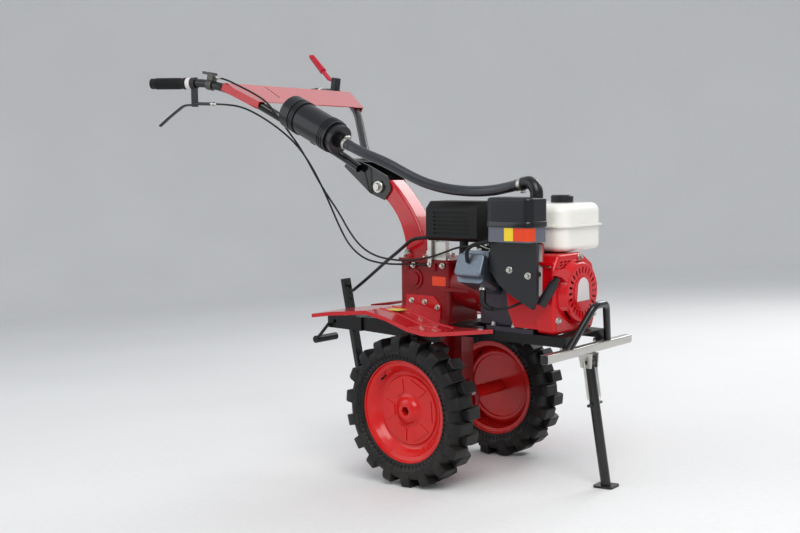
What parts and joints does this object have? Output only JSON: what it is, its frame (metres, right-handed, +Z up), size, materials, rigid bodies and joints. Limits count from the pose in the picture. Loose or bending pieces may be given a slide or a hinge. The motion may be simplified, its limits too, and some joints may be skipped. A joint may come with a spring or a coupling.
{
  "type": "rotary tiller",
  "caption": "Walk-behind petrol rotary tiller on lugged transport wheels, with height-set handlebars, fenders, depth bar and a folding front stand.",
  "frame": {"origin": "middle of the bounding box on the ground the wheels and the front stand rest on", "axes": "+X forward, towards the bumper and stand; +Y to the machine's left; +Z up"},
  "size_m": [1.3718, 0.7066, 1.3242],
  "materials": {
    "red_paint": "gloss",
    "black_paint": "satin",
    "rim_paint": "gloss",
    "cast_red": "gloss enamel",
    "cast_alloy": "as cast",
    "tank_paint": "gloss",
    "fan_red": "gloss",
    "silver_steel": "brushed",
    "shaft_steel": "turned",
    "engine_iron": "matt",
    "black_plastic": "matt",
    "hose_rubber": "satin",
    "grip_rubber": "matt",
    "cable_black": "satin",
    "tyre_rubber": "matt"
  },
  "bodies": {
    "chassis": {"gearbox": "cast_red", "handle_column": "cast_red", "engine_block": "engine_iron", "cylinder": "cast_alloy", "valve_cover": "cast_alloy", "fan_cover": "fan_red", "recoil_cover": "fan_red", "recoil_grip": "black_plastic", "fuel_tank": "tank_paint", "fuel_cap": "black_plastic", "muffler": "black_paint", "air_cleaner_base": "black_plastic", "air_cleaner_cover": "black_plastic", "carburettor": "cast_alloy", "side_shroud": "black_plastic", "engine_frame": "black_paint", "front_crossbar": "silver_steel", "front_bumper": "black_paint", "fenders": "red_paint", "rear_hitch": "black_paint", "hitch_lever": "black_paint", "clutch_arm": "cast_alloy", "gear_lever": "black_paint", "stand_springs": "silver_steel"},
    "wheel_set": {"output_shaft": "shaft_steel", "left_rim": "rim_paint", "right_rim": "rim_paint", "left_tyre": "tyre_rubber", "right_tyre": "tyre_rubber"},
    "handlebar_set": {"handle_bracket": "black_paint", "handlebars": "black_paint", "grips": "grip_rubber", "handle_panel": "red_paint", "right_lever_clamp": "black_paint", "right_lever": "black_paint", "throttle_control": "black_plastic", "left_lever_clamp": "cast_alloy", "left_lever": "red_paint", "air_precleaner": "black_plastic", "precleaner_strap": "black_paint", "cable_clip": "silver_steel", "air_hose": "hose_rubber", "clutch_cable": "cable_black", "throttle_cable": "cable_black"},
    "stand": {"front_stand": "black_paint"},
    "depth_control": {"depth_bar": "black_paint"}
  },
  "joints": [
    {"name": "wheel_axle", "type": "hinge", "parent": "chassis", "child": "wheel_set", "pos_m": [0.18587, 0, 0.205], "axis": [0, 1, 0], "continuous": true},
    {"name": "handlebar_height", "type": "hinge", "parent": "chassis", "child": "handlebar_set", "pos_m": [-0.02327, 0, 0.82443], "axis": [0, 1, 0], "range_deg": [-15, 15], "deforming": ["air_hose", "clutch_cable", "throttle_cable"]},
    {"name": "front_stand_fold", "type": "hinge", "parent": "chassis", "child": "stand", "pos_m": [0.62997, 0, 0.32303], "axis": [0, 1, 0], "range_deg": [0, 80], "deforming": ["stand_springs"]},
    {"name": "depth_bar_slide", "type": "slide", "parent": "chassis", "child": "depth_control", "axis": [-0.134, 0, 0.991], "range_m": [-0.14, 0.1]}
  ]
}
